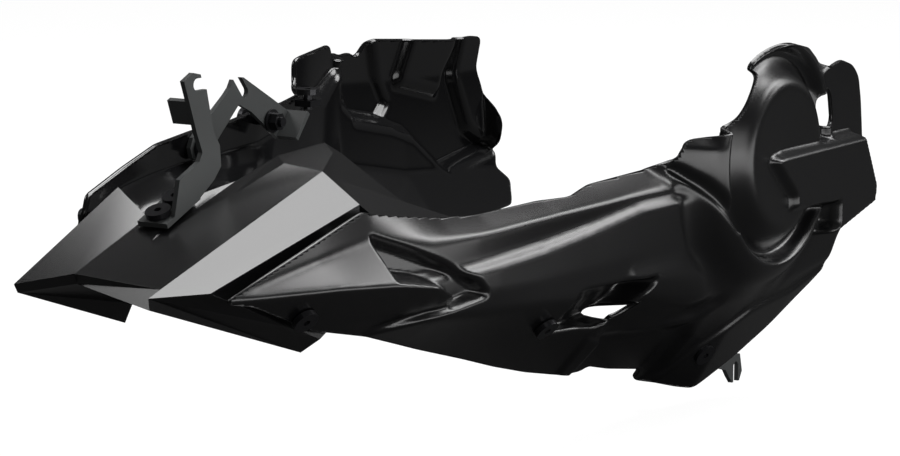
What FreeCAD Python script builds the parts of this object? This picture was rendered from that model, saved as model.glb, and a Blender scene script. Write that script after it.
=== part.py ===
import FreeCAD, Part
import math
import os
import Sketcher
from FreeCAD import Placement, Rotation, Vector

# Motorcycle belly pan: a nose moulding with two fangs, a left side panel with a round
# engine-cover shroud, an open right side panel, and steel brackets and screws that hold them.
# Millimetres. X runs to the rear, Y to the rider's right, Z up.
# The shapes are written with X = 0 at the fang tips, Y = 0 on the centre plane and
# Z = 0 at the lowest edge of the heel. Each sub-part is then placed so that the
# centre of the front bracket's slot is the origin.

doc = FreeCAD.newDocument("belly_pan")
sheet = doc.addObject("Spreadsheet::Sheet", "Sizes")

SIZES = {
    # walls and plates
    "panel_wall": 3.0,
    "nose_wall": 3.0,
    "plate_thick": 3.0,
    "seat_gap": 0.3,
    # left panel, round shroud
    "shroud_x": 540.0,
    "shroud_z": 156.0,
    "shroud_out": 150.0,
    "ridge_radius": 69.0,
    "flare_width": 22.0,
    "flare_fall": 24.0,
    "groove_depth": 11.0,
    "dome_radius": 48.5,
    "dome_rise": 9.0,
    "dome_top_radius": 30.0,
    "dish_depth": 4.0,
    # left panel, rear box block
    "box_out": 158.0,
    "box_draft": 4.0,
    # left panel, front recess
    "recess_depth": 9.0,
    "scoop_depth": 24.0,
    # front bracket
    "slot_x": 107.5,
    "slot_z": 236.0,
    "slot_width": 7.0,
    "front_tab": 14.0,
    "front_foot": 34.0,
    "front_foot_width": 19.0,
    "front_foot_x": 94.0,
    "front_foot_z": 164.3,
    "front_foot_slope": 22.0,
    "front_bolt_spacing": 17.0,
    "foot_pad": 8.0,
    # fork bracket
    "fork_plate_y": 80.0,
    "fork_slot_x": 268.0,
    "fork_slot_z": 210.0,
    "fork_slot_width": 7.0,
    "fork_flange": 16.0,
    # rear bracket
    "rear_slot_x": 604.0,
    "rear_slot_y": 82.0,
    "rear_slot_z": 1.3,
    "rear_slot_width": 6.6,
    "rear_foot": 24.0,
    # screws, washers and nuts
    "head_diameter": 15.0,
    "head_rise": 3.4,
    "socket_width": 4.0,
    "socket_depth": 2.0,
    "shank_diameter": 6.0,
    "hole_clearance": 0.6,
    "washer_diameter": 15.0,
    "washer_thick": 1.2,
    "nut_width": 10.0,
    "nut_thick": 5.0,
    "thread_spare": 2.0,
    "boss_screw_grip": 12.0,
    # seats moulded in the panels
    "pad_radius": 9.0,
    "pad_rise": 0.5,
    "pad_thick": 5.0,
    "boss_radius": 5.5,
    "boss_length": 17.0,
    # top lug of the right panel
    "lug_x": 352.0,
    "lug_y": 89.0,
    "lug_top": 199.0,
    "clip_width": 12.0,
    "clip_thick": 4.0,
}

for row, (name, value) in enumerate(SIZES.items(), start=1):
    sheet.set(f"A{row}", name)
    sheet.set(f"B{row}", str(value))
    sheet.setAlias(f"B{row}", name)
doc.recompute()


def size(name):
    return float(sheet.get(name))


# Lines of the left panel as stations: X, outward distance, height.
LEFT_TOP = ((34, 74, 131.5), (94, 80, 149), (152, 86, 166), (178, 88, 160), (218, 90, 154),
            (256, 93, 151), (318, 97, 152), (371, 103, 155), (430, 111, 159), (455, 123, 162),
            (480, 132, 170), (700, 140, 170))
LEFT_CREASE = ((130, 87, 150), (150, 90, 150), (200, 101, 142), (240, 107, 142),
               (322, 115, 145), (390, 121, 145), (455, 128, 145), (700, 140, 145))
LEFT_BELT = ((130, 94, 116), (150, 97, 116), (197, 108, 119), (253, 113, 122),
             (302, 116, 125), (353, 120, 130), (404, 125, 137), (458, 131, 138), (700, 142, 138))
LEFT_CHIN = ((130, 92, 104), (200, 106, 98), (300, 116, 92), (400, 122, 84),
             (500, 124, 62), (600, 132, 70), (700, 142, 84))
LEFT_HEM = ((34, 73, 127.5), (91, 75, 108), (112, 75, 101), (162, 74, 89), (224, 73, 72),
            (313, 71, 47), (395, 70, 27), (490, 78, 16), (535, 85, -2), (600, 106, 30),
            (640, 122, 60), (700, 140, 76))
GROOVE_IN = 5.0
GROOVE_RISE = 4.0
EDGE_SPARE = 18.0
INNER_REACH = 30.0
OUTER_REACH = 220.0

# Lines of the front lobe of the left panel: upper border of its facet, and its ridge.
LOBE_FACET = ((34, 74.5, 131), (74, 79, 138), (108, 83, 143), (150, 90, 150), (200, 96, 157))
LOBE_RIDGE = ((34, 75, 129.5), (110, 98, 127), (184, 118, 121), (200, 122, 120))

BODY_STATIONS = (130, 152, 178, 218, 256, 313, 371, 430, 455, 490, 535, 600, 640, 700)
LOBE_STATIONS = (34, 50, 74, 94, 112, 135, 152, 178, 200)


def law(points, x, column):
    """Value of a line at x, straight between its named points."""
    for a, b in zip(points, points[1:]):
        if x <= b[0]:
            share = (x - a[0]) / (b[0] - a[0])
            return a[column] + share * (b[column] - a[column])
    return points[-1][column]


def at(points, x):
    return (law(points, x, 1), law(points, x, 2))


def right_of(a, b):
    length = math.hypot(b[0] - a[0], b[1] - a[1])
    return ((b[1] - a[1]) / length, -(b[0] - a[0]) / length)


def miter(path, distance):
    """Open path moved to its right-hand side by a distance."""
    moved = []
    for i, p in enumerate(path):
        normals = []
        if i > 0:
            normals.append(right_of(path[i - 1], p))
        if i < len(path) - 1:
            normals.append(right_of(p, path[i + 1]))
        nx = sum(n[0] for n in normals)
        ny = sum(n[1] for n in normals)
        scale = distance * len(normals) / max(nx * nx + ny * ny, 1.0)
        moved.append((p[0] + nx * scale, p[1] + ny * scale))
    return moved


def extend(a, b, spare):
    """Point past b on the line from a, by a spare length."""
    length = math.hypot(b[0] - a[0], b[1] - a[1])
    share = (length + spare) / length
    return (a[0] + (b[0] - a[0]) * share, a[1] + (b[1] - a[1]) * share)


def body_section(x):
    """Outer path of the left panel's main body at x, from above the top edge to below the hem."""
    top, crease, belt = at(LEFT_TOP, x), at(LEFT_CREASE, x), at(LEFT_BELT, x)
    chin, hem = at(LEFT_CHIN, x), at(LEFT_HEM, x)
    above = extend(crease, top, EDGE_SPARE)
    valley = (belt[0] - GROOVE_IN, belt[1] + min(GROOVE_RISE, (crease[1] - belt[1]) / 2))
    middle = ((belt[0] + chin[0]) / 2 + 1.5, (belt[1] + chin[1]) / 2)
    below = extend(chin, hem, EDGE_SPARE)
    return [above, crease, valley, belt, middle, chin, below]


def lobe_section(x):
    """Outer path of the left panel's front lobe at x."""
    top, facet = at(LEFT_TOP, x), at(LOBE_FACET, x)
    ridge, hem = at(LOBE_RIDGE, x), at(LEFT_HEM, x)
    above = extend(facet, top, EDGE_SPARE)
    below = extend(ridge, hem, EDGE_SPARE)
    return [above, facet, ridge, below]


def triangle(a, b, c):
    return Part.Face(Part.makePolygon([a, b, c, a]))


def closed_solid(faces):
    shell = Part.Shell(faces)
    shell.sewShape()
    solid = Part.Solid(shell)
    return solid if solid.Volume > 0 else solid.reversed()


def skin(section, stations, inset, inner):
    """Faceted solid between an outer skin, moved in by inset, and a plane near the centre."""
    rings = []
    for x in stations:
        path = miter(section(x), inset)
        closing = [(inner, path[-1][1]), (inner, path[0][1])]
        rings.append([Vector(x, -h, z) for h, z in path + closing])
    faces = [Part.Face(Part.makePolygon(ring + ring[:1])) for ring in (rings[0], rings[-1])]
    for before, after in zip(rings, rings[1:]):
        for i in range(len(before)):
            k = (i + 1) % len(before)
            faces.append(triangle(before[i], before[k], after[k]))
            faces.append(triangle(before[i], after[k], after[i]))
    return closed_solid(faces)


def prism(outline, inner, outer):
    """Solid of an X-Z outline between two outward distances."""
    points = [Vector(x, -inner, z) for x, z in outline]
    face = Part.Face(Part.makePolygon(points + points[:1]))
    return face.extrude(Vector(0, inner - outer, 0))


def grow(outline, distance):
    """Closed outline, listed clockwise with x to the right and z up, made larger."""
    count = len(outline)
    grown = []
    for i in range(count):
        before = right_of(outline[i - 1], outline[i])
        after = right_of(outline[i], outline[(i + 1) % count])
        nx, ny = before[0] + after[0], before[1] + after[1]
        scale = -distance * 2 / max(nx * nx + ny * ny, 1.0)
        grown.append((outline[i][0] + nx * scale, outline[i][1] + ny * scale))
    return grown


def block(outline, low, high, draft):
    """Solid of an outline at its outer face, wider by its draft at the inner end."""
    wires = []
    for out, shape in ((low, grow(outline, draft)), (high, outline)):
        points = [Vector(x, -out, z) for x, z in shape]
        wires.append(Part.makePolygon(points + points[:1]))
    return Part.makeLoft(wires, True, True)


# Outlines of the left panel's forms, X and height, clockwise.
LEFT_OUTLINE = ((34, 131.5), (94, 149), (148, 165.5), (154, 164), (178, 160), (218, 154), (256, 151),
                (318, 152), (345, 151.5), (371, 155.5), (428, 158.5), (444, 162), (447, 170),
                (452, 175), (476, 178), (488, 184), (504, 200), (517, 211), (511, 212), (513, 216),
                (526, 221), (544, 226), (562, 225), (586, 221), (606, 213), (616, 205), (634, 208),
                (651, 203), (660, 195), (664, 178), (666, 160), (670, 122), (664, 108), (645, 90),
                (629, 59), (615, 47), (595, 30), (570, 13), (544, 1), (535, -2), (520, 1),
                (491, 9), (490, 16.5), (451, 23), (425, 29), (421, 26), (407, 26), (395, 28),
                (352, 37), (313, 47), (275, 58), (224, 72), (162, 90), (112, 101), (91, 109),
                (52, 124), (34, 127))
NOTCH = ((90, 185), (148, 185), (148, 151), (176, 141), (205, 129), (232, 115), (240, 107),
         (192, 101), (138, 88), (90, 75))
LOBE_AREA = ((10, 200), (149, 200), (150, 150), (153, 127), (184, 120), (222, 104), (138, 50), (10, 50))
SCOOP = ((336, 91), (343, 93), (416, 91), (410, 85), (406, 78), (396, 68), (384, 66), (366, 68), (335, 69))
SCOOP_GAP = ((384, 76), (400, 84), (410, 82), (403, 76), (394, 70), (386, 69))
LOWER_BAND = ((404, 56), (440, 52), (490, 50), (500, 40), (500, -25), (404, -25))
BOX_FACE = ((517, 155), (530, 157), (645, 157), (663, 122), (660, 111), (601, 97), (607, 104),
            (607, 118), (584, 119), (545, 121), (545, 130))
EAR = ((596, 196), (608, 204), (634, 212), (656, 206), (668, 190), (668, 150), (596, 150))
EAR_HOLE = ((597, 187), (617, 191), (622, 166), (600, 167))
EAR_OUT = 144.0
EAR_DRAFT = 6.0
BAND_DEPTH = 5.0


def shroud(inset, inner):
    """Round engine-cover shroud: domed disc, groove, raised ridge and flare."""
    out, ridge = size("shroud_out"), size("ridge_radius")
    dome, top = size("dome_radius"), size("dome_top_radius")
    floor = out - size("groove_depth")
    edge = out - size("groove_depth") / 2
    crest = edge + size("dome_rise")
    flare = ridge + size("flare_width")
    path = [(flare + 20, out - size("flare_fall") - 20), (flare, out - size("flare_fall")),
            (ridge + 2, out), (ridge - 2, out), (ridge - 9, floor), (dome + 4, floor), (dome, edge),
            (top, crest), (top - 8, crest - size("dish_depth")), (0, crest - size("dish_depth"))]
    moved = miter([(-r, h) for r, h in path], inset)
    points = [(-r, h) for r, h in moved]
    points[-1] = (0, points[-1][1])
    profile = points + [(0, inner), (points[0][0], inner)]
    wire = Part.makePolygon([Vector(r, -h, 0) for r, h in profile + profile[:1]])
    turned = Part.Face(wire).revolve(Vector(0, 0, 0), Vector(0, 1, 0), 360)
    turned.translate(Vector(size("shroud_x"), 0, size("shroud_z")))
    return turned


def sunk(section, stations, outline, inset, depth, inner):
    """Floor of a recess: the skin set in by a depth, within an outline."""
    floor = skin(section, stations, inset + depth, inner)
    return floor.common(prism(grow(outline, inset + 1), inner, OUTER_REACH))


def left_solid(inset, inner):
    body = skin(body_section, BODY_STATIONS, inset, inner)
    body = body.fuse([shroud(inset, inner),
                      block(grow(BOX_FACE, -inset), inner, size("box_out") - inset, size("box_draft")),
                      block(grow(EAR, -inset), inner, EAR_OUT - inset, EAR_DRAFT)])
    for outline in (NOTCH, SCOOP, LOWER_BAND):
        body = body.cut(prism(grow(outline, inset), inner - 5, OUTER_REACH))
    lobe_stations = LOBE_STATIONS if inset == 0 else LOBE_STATIONS[2:]
    lobe = skin(lobe_section, lobe_stations, inset, inner)
    lobe = lobe.common(prism(grow(LOBE_AREA, -inset), inner - 5, OUTER_REACH))
    floors = [sunk(body_section, BODY_STATIONS, NOTCH, inset, size("recess_depth"), inner),
              sunk(body_section, BODY_STATIONS, SCOOP, inset, size("scoop_depth"), inner),
              sunk(body_section, BODY_STATIONS, LOWER_BAND, inset, BAND_DEPTH, inner)]
    return body.fuse([lobe] + floors)


def left_panel():
    outer = left_solid(0.0, INNER_REACH)
    hollow = left_solid(size("panel_wall"), INNER_REACH - 10)
    shell = outer.cut(hollow).common(prism(LEFT_OUTLINE, INNER_REACH + 2, OUTER_REACH))
    tip_space = prism(((20, 160), (76, 160), (76, 100), (20, 100)), 0, TIP_INNER)
    return shell.cut([prism(SCOOP_GAP, 0, OUTER_REACH), prism(EAR_HOLE, 0, OUTER_REACH), tip_space])


TIP_INNER = 70.0

# Lines of the right panel: X, outward distance, height.
RIGHT_TOP = ((80, 62, 158), (88, 65, 168), (132, 72, 181), (176, 80, 189), (221, 85, 192),
             (250, 88, 191), (292, 92, 195), (330, 96, 196), (362, 100, 200), (376, 112, 216),
             (430, 118, 221), (492, 122, 219), (587, 126, 210), (670, 130, 208))
RIGHT_CHEEK = ((80, 65, 155), (132, 75, 168), (200, 86, 170), (300, 95, 172), (362, 106, 184),
               (430, 122, 196), (520, 130, 190), (670, 134, 186))
RIGHT_CHIN = ((80, 64, 149), (132, 68, 157), (200, 68, 158), (300, 74, 154), (372, 96, 150),
              (430, 118, 140), (520, 126, 124), (670, 130, 112))
RIGHT_HEM = ((80, 62, 145), (132, 65, 149), (200, 38, 148), (300, 34, 130), (372, 44, 112),
             (430, 70, 96), (520, 96, 86), (670, 120, 82))
RIGHT_STATIONS = (80, 88, 110, 132, 176, 221, 250, 292, 330, 362, 376, 430, 492, 587, 670)
RIGHT_OUTLINE = ((81, 157), (83, 164), (88, 171), (132, 181), (176, 189), (221, 192), (250, 191),
                 (292, 195), (330, 196), (362, 200), (372, 204), (377, 216), (385, 218), (426, 222),
                 (432, 213), (440, 211), (448, 214), (458, 211), (469, 212), (480, 208), (492, 219),
                 (587, 210), (614, 210), (628, 208), (629, 184), (641, 161), (645, 147), (641, 115),
                 (656, 104), (646, 88), (520, 86), (430, 96), (372, 112), (300, 131), (200, 149),
                 (132, 151), (82, 146))
RIGHT_BLISTER = ((438, 230), (640, 230), (640, 128), (577, 120), (533, 150), (505, 159), (452, 170))
BLISTER_RISE = 12.0


def right_section(x):
    """Outer path of the right panel at x, from above the top edge to past the hem."""
    top, cheek = at(RIGHT_TOP, x), at(RIGHT_CHEEK, x)
    chin, hem = at(RIGHT_CHIN, x), at(RIGHT_HEM, x)
    return [extend(cheek, top, EDGE_SPARE), cheek, chin, extend(chin, hem, EDGE_SPARE)]


RIGHT_INNER = 10.0


def right_solid(inset, inner):
    body = skin(right_section, RIGHT_STATIONS, inset, inner)
    blister = skin(right_section, RIGHT_STATIONS, inset - BLISTER_RISE, inner)
    return body.fuse(blister.common(prism(grow(RIGHT_BLISTER, -inset), inner - 5, OUTER_REACH)))


def right_panel():
    outer = right_solid(0.0, RIGHT_INNER)
    hollow = right_solid(size("panel_wall"), RIGHT_INNER - 8)
    shell = outer.cut(hollow).common(prism(RIGHT_OUTLINE, RIGHT_INNER + 2, OUTER_REACH))
    return shell.mirror(Vector(0, 0, 0), Vector(0, 1, 0))


# Corners of the nose moulding: X, Y and height.
NOSE = {
    "near_tip": (0, -45, 134), "near_low": (2, -44, 127), "near_corner": (35, -61, 133),
    "near_rear_corner": (166, -72, 166), "near_ridge_end": (161, -50, 184),
    "seam_mid": (96, -70, 106), "near_keel_side": (128, -70, 94), "near_keel_end": (132, -54, 84),
    "near_rear_low": (168, -70, 112),
    "lip_near": (11, -45, 137.5), "lip_far": (20, 20, 139), "lip_low": (22, 20, 133),
    "floor_front": (34, -6, 142), "floor_near": (68, 2, 152.5), "floor_far": (91, 22, 161),
    "wall_1": (124, -15, 173), "wall_2": (159, -25, 187), "wall_3": (199, -32, 189),
    "edge_0": (90, 20, 161.5), "edge_1": (109, 8, 170), "edge_2": (141, -4, 177.5),
    "edge_3": (177, -8, 188), "edge_4": (214, -16, 192),
    "far_ridge_end": (105, 53, 174), "far_tip": (-2, 45, 134), "far_low": (0, 44, 129),
    "far_keel_side": (111, 48, 106), "far_keel_end": (106, 50, 95), "far_side": (110, 60, 160),
    "rear_1": (235, -14, 183), "rear_2": (284, -6, 160), "rear_3": (342, 4, 134),
    "step_1": (183, -46, 176), "step_2": (190, -74, 150), "step_3": (330, -80, 124),
}
NOSE_FACETS = (
    ("near_tip", "near_corner", "near_rear_corner", "near_ridge_end"),
    ("near_tip", "near_low", "near_keel_end", "near_keel_side", "seam_mid", "near_corner"),
    ("near_corner", "seam_mid", "near_keel_side", "near_rear_low", "near_rear_corner"),
    ("near_tip", "near_ridge_end", "wall_3", "wall_2", "wall_1", "floor_near", "floor_front", "lip_near"),
    ("near_tip", "lip_near", "near_low"),
    ("lip_near", "floor_front", "lip_far"),
    ("lip_near", "lip_far", "lip_low", "near_low"),
    ("floor_front", "floor_near", "floor_far", "lip_far"),
    ("lip_far", "floor_far", "far_ridge_end", "far_tip"),
    ("lip_far", "far_tip", "far_low", "lip_low"),
    ("far_low", "far_keel_end", "far_keel_side", "lip_low"),
    ("far_tip", "far_ridge_end", "far_side", "far_keel_end", "far_low"),
    ("floor_near", "wall_1", "edge_2", "edge_1", "floor_far"),
    ("wall_1", "wall_2", "edge_3", "edge_2"),
    ("wall_2", "wall_3", "edge_4", "edge_3"),
    ("near_ridge_end", "near_rear_corner", "step_2", "step_1"),
    ("near_ridge_end", "step_1", "rear_1", "edge_4", "wall_3"),
    ("step_1", "rear_2", "rear_1"),
    ("step_1", "step_2", "step_3", "rear_3", "rear_2"),
)


def thick_sheet(corners, facets, wall):
    """Solid of a faceted sheet, moved in from its outer face by its wall."""
    place = {name: Vector(*point) for name, point in corners.items()}
    triangles = []
    for facet in facets:
        for b, c in zip(facet[1:], facet[2:]):
            triangles.append((facet[0], b, c))
    normals = {}
    edges = {}
    for a, b, c in triangles:
        normal = (place[b] - place[a]).cross(place[c] - place[a])
        normal.normalize()
        for name in (a, b, c):
            if all((normal - other).Length > 0.02 for other in normals.setdefault(name, [])):
                normals[name].append(normal)
        for pair in ((a, b), (b, c), (c, a)):
            edges[pair] = True
    inner = {name: place[name] - offset(normals[name], wall) for name in normals}
    faces = []
    for a, b, c in triangles:
        faces.append(triangle(place[a], place[b], place[c]))
        faces.append(triangle(inner[a], inner[c], inner[b]))
    for a, b in edges:
        if (b, a) not in edges:
            faces.append(triangle(place[b], place[a], inner[a]))
            faces.append(triangle(place[b], inner[a], inner[b]))
    return Part.Solid(Part.Shell(faces))


def offset(normals, wall):
    """Smallest move whose share along each normal is the wall, found by steps."""
    move = Vector(0, 0, 0)
    for _ in range(60):
        for normal in normals:
            short = min(wall - move.dot(normal), wall)
            move = move + normal * (short * 0.5)
    if move.Length > wall * 2.5:
        move = move * (wall * 2.5 / move.Length)
    return move


def seat(low, high, x, share, side):
    """Frame on a panel's outer skin between two lines: Z out of the skin, X along the panel."""
    points = []
    for where in (x - 2, x, x + 2):
        a, b = at(low, where), at(high, where)
        points.append(Vector(where, side * (a[0] + (b[0] - a[0]) * share), a[1] + (b[1] - a[1]) * share))
    a, b = at(low, x), at(high, x)
    along = (points[2] - points[0]).normalize()
    across = Vector(0, side * (b[0] - a[0]), b[1] - a[1])
    normal = along.cross(across).normalize()
    if normal.y * side < 0:
        normal = normal * -1
    turn = Rotation(along, normal.cross(along), normal, "ZXY")
    return Placement(points[1] + normal * size("pad_rise"), turn)


def level_seat(x, y, z, turn):
    return Placement(Vector(x, y, z), turn)


def round_bar(frame, radius, low, high):
    """Cylinder along a frame's Z axis between two heights."""
    bar = Part.makeCylinder(radius, high - low, Vector(0, 0, low))
    bar.Placement = frame
    return bar


def box_in(frame, xs, ys, zs):
    solid = Part.makeBox(xs[1] - xs[0], ys[1] - ys[0], zs[1] - zs[0], Vector(xs[0], ys[0], zs[0]))
    solid.Placement = frame
    return solid


HOLE_RADIUS = (size("shank_diameter") + size("hole_clearance")) / 2
OUTWARD_RIGHT = Rotation(Vector(1, 0, 0), -90)
UPRIGHT = Rotation()

# Seats of the screws. Left seam, left body and heel on the left panel, right seam on the right.
LEFT_SEAM = seat(LOBE_RIDGE, LEFT_HEM, 96, 0.72, -1)
LEFT_BODY = seat(LEFT_CHIN, LEFT_HEM, 323, 0.35, -1)
HEEL = seat(LEFT_CHIN, LEFT_HEM, 526, 0.62, -1)
RIGHT_SEAM = seat(RIGHT_CHEEK, RIGHT_CHIN, 98, 0.5, 1)
FORK_POINTS = ((222, 181), (296, 189))
LUG = level_seat(size("lug_x"), size("lug_y"), size("lug_top"), UPRIGHT)
FOOT = level_seat(size("front_foot_x"), 0, size("front_foot_z"),
                  Rotation(Vector(0, 1, 0), -size("front_foot_slope")))
FOOT_BOLT_Y = size("front_foot_width") / 2


def foot_bolt(sign):
    x = sign * size("front_bolt_spacing") / 2
    return FOOT.multiply(Placement(Vector(x, FOOT_BOLT_Y, size("plate_thick")), UPRIGHT))


def fork_seat(point):
    return level_seat(point[0], fork_seat_y(point), point[1], OUTWARD_RIGHT)


def fork_seat_y(point):
    """Outer end of a fork bracket boss, clear of the right panel's skin."""
    top, cheek = at(RIGHT_TOP, point[0]), at(RIGHT_CHEEK, point[0])
    return max(top[0], cheek[0]) + 2 * size("pad_rise")


def pad_on(frame):
    return round_bar(frame, size("pad_radius"), -size("pad_thick"), 0)


def hole_in(frame, depth):
    return round_bar(frame, HOLE_RADIUS, -depth, 2 * size("pad_thick"))


def seam_boss(frame):
    start = size("pad_thick") + size("seat_gap")
    return round_bar(frame, size("boss_radius"), -size("boss_length"), -start)


def left_panel_with_seats():
    frames = (LEFT_SEAM, LEFT_BODY, HEEL)
    shape = left_panel().fuse([pad_on(frame) for frame in frames])
    return shape.cut([hole_in(frame, 3 * size("pad_thick")) for frame in frames])


def right_panel_with_seats():
    plate_face = size("fork_plate_y") + size("plate_thick") / 2 + size("seat_gap")
    bosses = []
    for point in FORK_POINTS:
        frame = fork_seat(point)
        bosses.append(round_bar(frame, size("pad_radius") - 1, plate_face - frame.Base.y, 0))
    lug = box_in(LUG, (-10, 10), (-9, 9), (-size("panel_wall"), 0))
    shape = right_panel().fuse(bosses + [pad_on(RIGHT_SEAM), lug])
    holes = [hole_in(fork_seat(point), 20) for point in FORK_POINTS]
    return shape.cut(holes + [hole_in(RIGHT_SEAM, 2 * size("pad_thick")), hole_in(LUG, 10)])


def nose_panel_with_seats():
    sheet_shape = thick_sheet(NOSE, NOSE_FACETS, size("nose_wall"))
    half = size("front_foot") / 2 - 2
    top = -size("seat_gap")
    pad = box_in(FOOT, (-half, half), (1, size("front_foot_width") - 2), (top - size("foot_pad"), top))
    shape = sheet_shape.fuse([seam_boss(LEFT_SEAM), seam_boss(RIGHT_SEAM), pad])
    holes = [round_bar(frame, HOLE_RADIUS, -size("boss_length") - 5, 0) for frame in (LEFT_SEAM, RIGHT_SEAM)]
    holes += [round_bar(foot_bolt(sign), HOLE_RADIUS, -20, 0) for sign in (-1, 1)]
    return shape.cut(holes)


# The sub-parts as objects of the document, each moved so that the slot centre is the origin.
DATUM = Placement(Vector(-size("slot_x"), 0, -size("slot_z")), UPRIGHT)
SUBPARTS = []


def keep(item, label, place):
    item.Label = label
    item.Placement = DATUM.multiply(place)
    SUBPARTS.append(item)


def add_shell(label, shape):
    item = doc.addObject("Part::Feature", label)
    item.Shape = shape
    keep(item, label, Placement())


add_shell("left_side_panel", left_panel_with_seats())
add_shell("right_side_panel", right_panel_with_seats())
add_shell("nose_panel", nose_panel_with_seats())


def sketch_on(body, role, name, shift):
    plane = [item for item in body.Origin.OriginFeatures if item.Role == role][0]
    sketch = body.newObject("Sketcher::SketchObject", name)
    sketch.AttachmentSupport = [(plane, "")]
    sketch.MapMode = "FlatFace"
    sketch.AttachmentOffset = shift
    return sketch


def draw_outline(sketch, points):
    count = len(points)
    for i in range(count):
        a, b = points[i], points[(i + 1) % count]
        sketch.addGeometry(Part.LineSegment(Vector(a[0], a[1], 0), Vector(b[0], b[1], 0)))
    for i in range(count):
        sketch.addConstraint(Sketcher.Constraint("Coincident", i, 2, (i + 1) % count, 1))


def draw_circle(sketch, x, y, formula):
    index = sketch.addGeometry(Part.Circle(Vector(x, y, 0), Vector(0, 0, 1), 1))
    radius = sketch.addConstraint(Sketcher.Constraint("Radius", index, 1))
    sketch.setExpression(f"Constraints[{radius}]", formula)


def draw_slot(sketch, formula, reach):
    """Slot with its round end at the sketch's origin, open to the right."""
    arc = Part.ArcOfCircle(Part.Circle(Vector(0, 0, 0), Vector(0, 0, 1), 3), math.pi / 2, 3 * math.pi / 2)
    sketch.addGeometry(arc)
    corners = ((0, -3), (reach, -3), (reach, 3), (0, 3))
    for a, b in zip(corners, corners[1:]):
        sketch.addGeometry(Part.LineSegment(Vector(a[0], a[1], 0), Vector(b[0], b[1], 0)))
    rules = [("Coincident", 0, 2, 1, 1), ("Coincident", 1, 2, 2, 1), ("Coincident", 2, 2, 3, 1),
             ("Coincident", 3, 2, 0, 1), ("Horizontal", 1), ("Horizontal", 3), ("Vertical", 2),
             ("Coincident", 0, 3, -1, 1), ("PointOnObject", 0, 1, -2)]
    for rule in rules:
        sketch.addConstraint(Sketcher.Constraint(*rule))
    radius = sketch.addConstraint(Sketcher.Constraint("Radius", 0, 3.0))
    sketch.setExpression(f"Constraints[{radius}]", formula)


def pad(body, sketch, name, formula, side):
    item = body.newObject("PartDesign::Pad", name)
    item.Profile = sketch
    item.setExpression("Length", formula)
    item.SideType = "Symmetric" if side == 0 else "One side"
    item.Reversed = side < 0
    body.Tip = item


def pocket(body, sketch, name):
    item = body.newObject("PartDesign::Pocket", name)
    item.Profile = sketch
    item.SideType = "Symmetric"
    item.Type = "ThroughAll"
    body.Tip = item


def from_point(outline, x, z):
    return [(p[0] - x, p[1] - z) for p in outline]


NO_SHIFT = Placement()
HEAD_FLATS = 24
SHANK_FLATS = 12
HOLE_FORMULA = "(Sizes.shank_diameter + Sizes.hole_clearance) / 2"

# Front bracket: upright plate on the centre plane, hooked slot, folded tab and foot.
FRONT_PLATE = ((95, 239), (104, 243), (111, 241.5), (113, 236), (116.5, 233), (123, 208), (129, 199),
               (130, 187), (123, 180), (108, 170.5), (84, 160.8), (90, 184), (109, 192), (112, 197),
               (107, 208), (99, 229))
FRONT_TAB = ((99.8, 227), (102.8, 228.2), (108, 214.5), (105.2, 213.2))
front = doc.addObject("PartDesign::Body", "front_bracket")
front_place = level_seat(size("slot_x"), 0, size("slot_z"), UPRIGHT)
sketch = sketch_on(front, "XZ_Plane", "front_plate_outline", NO_SHIFT)
draw_outline(sketch, from_point(FRONT_PLATE, size("slot_x"), size("slot_z")))
pad(front, sketch, "front_plate", "Sizes.plate_thick", 0)
sketch = sketch_on(front, "XZ_Plane", "front_tab_outline", NO_SHIFT)
draw_outline(sketch, from_point(FRONT_TAB, size("slot_x"), size("slot_z")))
pad(front, sketch, "front_tab_fold", "Sizes.front_tab", -1)
foot_shift = front_place.inverse().multiply(FOOT)
half = size("front_foot") / 2
edge = -size("plate_thick") / 2
sketch = sketch_on(front, "XY_Plane", "front_foot_outline", foot_shift)
draw_outline(sketch, ((-half, edge), (half, edge), (half, size("front_foot_width")),
                      (-half, size("front_foot_width"))))
pad(front, sketch, "front_foot_fold", "Sizes.plate_thick", 1)
sketch = sketch_on(front, "XZ_Plane", "front_slot_outline", NO_SHIFT)
draw_slot(sketch, "Sizes.slot_width / 2", 20)
pocket(front, sketch, "front_slot")
sketch = sketch_on(front, "XY_Plane", "front_foot_holes", foot_shift)
for sign in (-1, 1):
    draw_circle(sketch, sign * size("front_bolt_spacing") / 2, FOOT_BOLT_Y, HOLE_FORMULA)
pocket(front, sketch, "front_foot_bores")
keep(front, "front_bracket", front_place)

# Fork bracket: plate inside the right panel, slot open to the front and up, leg and folded flange.
FORK_PLATE = ((253, 214), (257, 220), (267, 219), (299, 202), (317, 192), (304, 177), (275, 197), (262, 203),
              (231, 177), (226, 173.5), (218, 173.5), (213, 176), (211, 182), (214, 188), (219, 191), (248, 210))
FORK_FOLD = ((317, 192), (304, 177), (301.9, 179.2), (314.8, 194.1))
FORK_SLOT_TURN = 130.0
fork = doc.addObject("PartDesign::Body", "fork_bracket")
fork_place = level_seat(size("fork_slot_x"), size("fork_plate_y"), size("fork_slot_z"), UPRIGHT)
sketch = sketch_on(fork, "XZ_Plane", "fork_plate_outline", NO_SHIFT)
draw_outline(sketch, from_point(FORK_PLATE, size("fork_slot_x"), size("fork_slot_z")))
pad(fork, sketch, "fork_plate", "Sizes.plate_thick", 0)
sketch = sketch_on(fork, "XZ_Plane", "fork_fold_outline", NO_SHIFT)
draw_outline(sketch, from_point(FORK_FOLD, size("fork_slot_x"), size("fork_slot_z")))
pad(fork, sketch, "fork_flange_fold", "Sizes.fork_flange", 1)
sketch = sketch_on(fork, "XZ_Plane", "fork_slot_outline",
                   Placement(Vector(0, 0, 0), Rotation(Vector(0, 0, 1), FORK_SLOT_TURN)))
draw_slot(sketch, "Sizes.fork_slot_width / 2", 25)
pocket(fork, sketch, "fork_slot")
sketch = sketch_on(fork, "XZ_Plane", "fork_holes", NO_SHIFT)
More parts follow.
